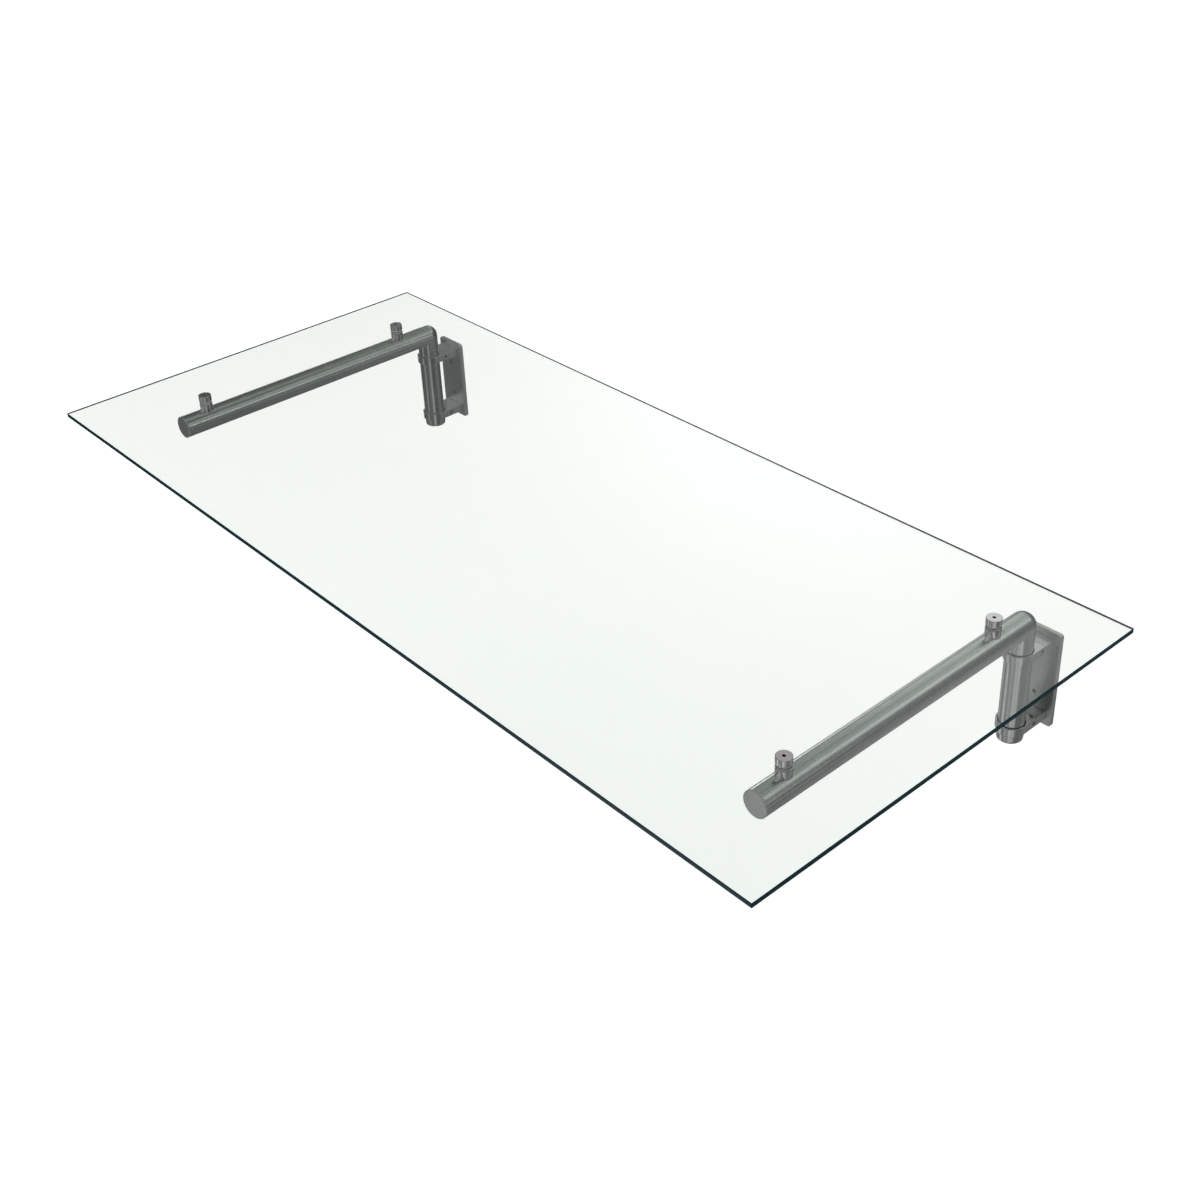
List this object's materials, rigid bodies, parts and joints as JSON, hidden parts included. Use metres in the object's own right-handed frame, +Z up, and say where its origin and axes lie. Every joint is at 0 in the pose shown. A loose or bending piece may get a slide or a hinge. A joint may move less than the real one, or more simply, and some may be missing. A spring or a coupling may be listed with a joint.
{
  "type": "glass wall shelf with tube brackets",
  "caption": "Wide glass panel on round-tube wall brackets: each arm turns down through an elbow into an upright, held off its wall plate by ring clamps. Pegs clamp the glass to the arms.",
  "frame": {"origin": "on the wall plane, midway between the two wall plates, at the height of the plates' centres", "axes": "+X along the shelf, to the right for someone facing the wall; +Y into the wall, so the glass reaches out towards -Y; +Z up"},
  "size_m": [1.8, 0.805, 0.2623],
  "materials": {
    "clear_glass": "clear float glass, polished edges, faint green tint",
    "brushed_steel": "satin stainless, finely ground along the tubes",
    "polished_steel": "polished stainless turned parts",
    "screw_steel": "plain stainless screws",
    "gasket_clear": "clear soft washer, slightly milky",
    "nylon": "translucent natural nylon"
  },
  "bodies": {
    "root": {"glass_panel": "clear_glass", "left_wall_plate": "brushed_steel", "left_upper_lug_block": "brushed_steel", "left_upper_ring_clamp": "brushed_steel", "left_upper_tie_screw": "screw_steel", "left_upper_set_screw": "screw_steel", "left_lower_lug_block": "brushed_steel", "left_lower_ring_clamp": "brushed_steel", "left_lower_tie_screw": "screw_steel", "left_lower_set_screw": "screw_steel", "left_post_tube": "brushed_steel", "left_post_cap": "brushed_steel", "left_elbow": "brushed_steel", "left_arm_tube": "brushed_steel", "left_arm_plug": "brushed_steel", "left_front_peg_body": "polished_steel", "left_front_lower_gasket": "gasket_clear", "left_front_sleeve": "nylon", "left_front_upper_gasket": "gasket_clear", "left_front_peg_cap": "polished_steel", "left_front_stud": "screw_steel", "left_front_nut": "screw_steel", "left_rear_peg_body": "polished_steel", "left_rear_lower_gasket": "gasket_clear", "left_rear_sleeve": "nylon", "left_rear_upper_gasket": "gasket_clear", "left_rear_peg_cap": "polished_steel", "left_rear_stud": "screw_steel", "left_rear_nut": "screw_steel", "right_wall_plate": "brushed_steel", "right_upper_lug_block": "brushed_steel", "right_upper_ring_clamp": "brushed_steel", "right_upper_tie_screw": "screw_steel", "right_upper_set_screw": "screw_steel", "right_lower_lug_block": "brushed_steel", "right_lower_ring_clamp": "brushed_steel", "right_lower_tie_screw": "screw_steel", "right_lower_set_screw": "screw_steel", "right_post_tube": "brushed_steel", "right_post_cap": "brushed_steel", "right_elbow": "brushed_steel", "right_arm_tube": "brushed_steel", "right_arm_plug": "brushed_steel", "right_front_peg_body": "polished_steel", "right_front_lower_gasket": "gasket_clear", "right_front_sleeve": "nylon", "right_front_upper_gasket": "gasket_clear", "right_front_peg_cap": "polished_steel", "right_front_stud": "screw_steel", "right_front_nut": "screw_steel", "right_rear_peg_body": "polished_steel", "right_rear_lower_gasket": "gasket_clear", "right_rear_sleeve": "nylon", "right_rear_upper_gasket": "gasket_clear", "right_rear_peg_cap": "polished_steel", "right_rear_stud": "screw_steel", "right_rear_nut": "screw_steel"}
  },
  "joints": []
}
